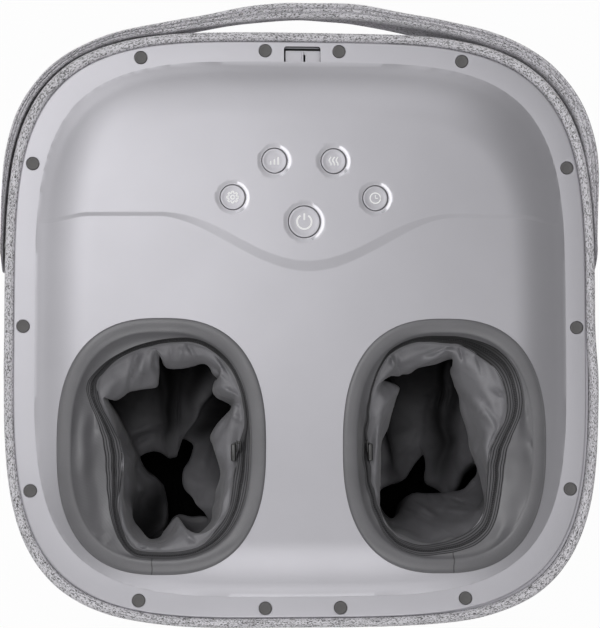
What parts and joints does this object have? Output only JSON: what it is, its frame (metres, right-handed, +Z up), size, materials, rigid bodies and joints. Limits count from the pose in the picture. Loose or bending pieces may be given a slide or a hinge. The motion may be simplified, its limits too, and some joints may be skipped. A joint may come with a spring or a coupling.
{
  "type": "foot massager",
  "caption": "Rounded-square foot massager with two cloth-lined foot pockets, geared kneading discs under them, push buttons and a carrying strap.",
  "frame": {"origin": "centre of the bounding box at the plane that the rubber pads stand on", "axes": "+Z up, +Y towards the back where the strap is, +X to the right of the seated user"},
  "size_m": [0.4224, 0.4386, 0.2316],
  "materials": {
    "silver_plastic": "satin, fine moulded grain",
    "heather_cloth": "speckled knit",
    "plug_plastic": "matte",
    "collar_cloth": "smooth coated cloth",
    "liner_cloth": "soft woven cloth",
    "zip_tape": "woven tape with moulded teeth",
    "steel": "satin",
    "natural_plastic": "plain moulded",
    "dark_plastic": "plain moulded",
    "circuit_board": "coated laminate",
    "rubber": "matte",
    "air_bag_film": "soft film"
  },
  "bodies": {
    "housing": {"base_shell": "silver_plastic", "clamp_ring": "silver_plastic", "top_panel": "silver_plastic", "fabric_side_cover": "heather_cloth", "screw_plug_01": "plug_plastic", "screw_plug_02": "plug_plastic", "screw_plug_03": "plug_plastic", "screw_plug_04": "plug_plastic", "screw_plug_05": "plug_plastic", "screw_plug_06": "plug_plastic", "screw_plug_07": "plug_plastic", "screw_plug_08": "plug_plastic", "screw_plug_09": "plug_plastic", "screw_plug_10": "plug_plastic", "screw_plug_11": "plug_plastic", "screw_plug_12": "plug_plastic", "screw_plug_13": "plug_plastic", "screw_plug_14": "plug_plastic", "foot_collar_left": "collar_cloth", "foot_collar_right": "collar_cloth", "liner_left": "liner_cloth", "liner_right": "liner_cloth", "zip_left": "zip_tape", "zip_right": "zip_tape", "strap_rivet_left": "steel", "strap_rivet_right": "steel", "motor_left": "steel", "motor_right": "steel", "kneader_axle_front_left": "steel", "kneader_axle_front_right": "steel", "kneader_axle_rear_left": "steel", "kneader_axle_rear_right": "steel", "button_carrier": "natural_plastic", "foot_cradle_left": "natural_plastic", "foot_cradle_right": "natural_plastic", "air_pump": "dark_plastic", "power_inlet": "dark_plastic", "control_board": "circuit_board", "main_board": "circuit_board", "air_hose": "rubber", "rubber_foot_front_left": "rubber", "rubber_foot_front_right": "rubber", "rubber_foot_rear_left": "rubber", "rubber_foot_rear_right": "rubber", "air_bag_left": "air_bag_film", "air_bag_right": "air_bag_film"},
    "handle_strap": {"handle_strap": "heather_cloth"},
    "button_power": {"button_power": "silver_plastic"},
    "button_mode": {"button_mode": "silver_plastic"},
    "button_intensity": {"button_intensity": "silver_plastic"},
    "button_heat": {"button_heat": "silver_plastic"},
    "button_timer": {"button_timer": "silver_plastic"},
    "zip_pull_left": {"zip_pull_left": "steel"},
    "zip_pull_right": {"zip_pull_right": "steel"},
    "motor_pinion_left": {"motor_pinion_left": "natural_plastic"},
    "motor_pinion_right": {"motor_pinion_right": "natural_plastic"},
    "kneader_front_left": {"kneader_front_left": "natural_plastic"},
    "kneader_front_right": {"kneader_front_right": "natural_plastic"},
    "kneader_rear_left": {"kneader_rear_left": "natural_plastic"},
    "kneader_rear_right": {"kneader_rear_right": "natural_plastic"}
  },
  "joints": [
    {"name": "strap_hinge", "type": "hinge", "parent": "housing", "child": "handle_strap", "pos_m": [0, 0.04715, 0.19], "axis": [1, 0, 0], "range_deg": [0, 90]},
    {"name": "power_press", "type": "slide", "parent": "housing", "child": "button_power", "axis": [0, 0, 1], "range_m": [-0.001, 0], "stiffness_N_per_m": 400},
    {"name": "mode_press", "type": "slide", "parent": "housing", "child": "button_mode", "axis": [0, 0, 1], "range_m": [-0.001, 0], "stiffness_N_per_m": 400},
    {"name": "intensity_press", "type": "slide", "parent": "housing", "child": "button_intensity", "axis": [0, 0, 1], "range_m": [-0.001, 0], "stiffness_N_per_m": 400},
    {"name": "heat_press", "type": "slide", "parent": "housing", "child": "button_heat", "axis": [0, 0, 1], "range_m": [-0.001, 0], "stiffness_N_per_m": 400},
    {"name": "timer_press", "type": "slide", "parent": "housing", "child": "button_timer", "axis": [0, 0, 1], "range_m": [-0.001, 0], "stiffness_N_per_m": 400},
    {"name": "zip_pull_left_swing", "type": "hinge", "parent": "housing", "child": "zip_pull_left", "pos_m": [-0.0477, -0.09365, 0.2025], "axis": [0, 0, 1], "range_deg": [-120, 0]},
    {"name": "zip_pull_right_swing", "type": "hinge", "parent": "housing", "child": "zip_pull_right", "pos_m": [0.0477, -0.09365, 0.2025], "axis": [0, 0, 1], "range_deg": [0, 120]},
    {"name": "kneader_front_left_spin", "type": "hinge", "parent": "housing", "child": "kneader_front_left", "pos_m": [-0.092, -0.07285, 0.0503], "axis": [0, 0, 1], "continuous": true},
    {"name": "kneader_rear_left_spin", "type": "hinge", "parent": "housing", "child": "kneader_rear_left", "pos_m": [-0.092, 0.01115, 0.0503], "axis": [0, 0, 1], "continuous": true},
    {"name": "pinion_left_spin", "type": "hinge", "parent": "housing", "child": "motor_pinion_left", "pos_m": [-0.092, -0.03085, 0.0503], "axis": [0, 0, 1], "continuous": true},
    {"name": "kneader_front_right_spin", "type": "hinge", "parent": "housing", "child": "kneader_front_right", "pos_m": [0.092, -0.07285, 0.0503], "axis": [0, 0, 1], "continuous": true},
    {"name": "kneader_rear_right_spin", "type": "hinge", "parent": "housing", "child": "kneader_rear_right", "pos_m": [0.092, 0.01115, 0.0503], "axis": [0, 0, 1], "continuous": true},
    {"name": "pinion_right_spin", "type": "hinge", "parent": "housing", "child": "motor_pinion_right", "pos_m": [0.092, -0.03085, 0.0503], "axis": [0, 0, 1], "continuous": true}
  ],
  "couplings": [
    {"joint": "pinion_left_spin", "follows": "kneader_front_left_spin", "ratio": -2.5},
    {"joint": "kneader_rear_left_spin", "follows": "kneader_front_left_spin", "ratio": 1},
    {"joint": "pinion_right_spin", "follows": "kneader_front_right_spin", "ratio": -2.5},
    {"joint": "kneader_rear_right_spin", "follows": "kneader_front_right_spin", "ratio": 1}
  ]
}
